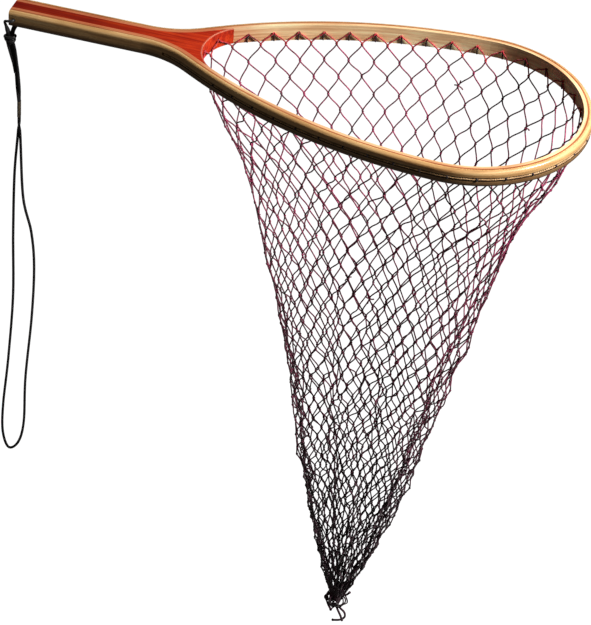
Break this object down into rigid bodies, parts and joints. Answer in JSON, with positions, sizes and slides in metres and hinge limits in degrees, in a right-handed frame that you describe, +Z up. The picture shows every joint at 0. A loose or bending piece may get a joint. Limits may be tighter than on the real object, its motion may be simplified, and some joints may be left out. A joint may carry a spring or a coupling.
{
  "type": "landing net",
  "caption": "Teardrop bentwood landing net with a laminated wooden hoop and handle, a deep knotted mesh bag laced round the rim and an elastic wrist lanyard.",
  "frame": {"origin": "centre of the flat butt end of the handle, halfway through the frame's thickness", "axes": "+X along the handle to the far end of the hoop, +Y across the hoop, +Z up out of the mouth; the bag and the lanyard hang to -Z"},
  "size_m": [0.6064, 0.248, 0.7207],
  "materials": {
    "ash_wood": "pale hardwood strip under gloss varnish",
    "blush_wood": "pale hardwood strip tinted pink by the red stain, under gloss varnish",
    "accent_wood": "thin red-brown strip under gloss varnish",
    "red_wood": "red-stained hardwood under gloss varnish",
    "lacing_twine": "tan twisted cord, darkened with use",
    "net_twine": "burgundy knotted nylon twine",
    "lanyard_cord": "black round elastic cord with a braided cover",
    "lanyard_tape": "dull brown tape band"
  },
  "bodies": {
    "frame": {"outer_lamination": "ash_wood", "accent_lamination": "accent_wood", "inner_lamination": "blush_wood", "handle_core": "red_wood", "lacing_cord": "lacing_twine", "mesh_bights": "net_twine", "net_collar": "net_twine"},
    "bag_belly": {"net_belly": "net_twine"},
    "bag_foot": {"net_foot": "net_twine"},
    "bag_tail": {"net_tail": "net_twine", "tail_tie": "net_twine", "tail_ends": "net_twine"},
    "lanyard_top": {"lanyard_neck": "lanyard_cord", "lanyard_knot": "lanyard_cord"},
    "lanyard_drop": {"lanyard_strands": "lanyard_cord", "lanyard_whipping": "lanyard_tape"},
    "lanyard_wrist": {"lanyard_loop": "lanyard_cord"}
  },
  "joints": [
    {"name": "bag_swing", "type": "hinge", "parent": "frame", "child": "bag_belly", "pos_m": [0.4, 0, -0.092], "axis": [0, 1, 0], "range_deg": [-25, 25]},
    {"name": "bag_sway", "type": "hinge", "parent": "bag_belly", "child": "bag_foot", "pos_m": [0.4, 0, -0.392], "axis": [1, 0, 0], "range_deg": [-20, 20]},
    {"name": "tail_lift", "type": "slide", "parent": "bag_foot", "child": "bag_tail", "axis": [0, 0, 1], "range_m": [0, 0.1]},
    {"name": "lanyard_swing", "type": "hinge", "parent": "frame", "child": "lanyard_top", "pos_m": [0.0055, 0, 0], "axis": [0, 1, 0], "range_deg": [-5, 100]},
    {"name": "lanyard_side", "type": "hinge", "parent": "lanyard_top", "child": "lanyard_drop", "pos_m": [0.0003, -0.012, -0.031], "axis": [1, 0, 0], "range_deg": [-45, 45]},
    {"name": "loop_fold", "type": "hinge", "parent": "lanyard_drop", "child": "lanyard_wrist", "pos_m": [0.0104, -0.012, -0.1406], "axis": [0, 1, 0], "range_deg": [-5, 110]}
  ]
}
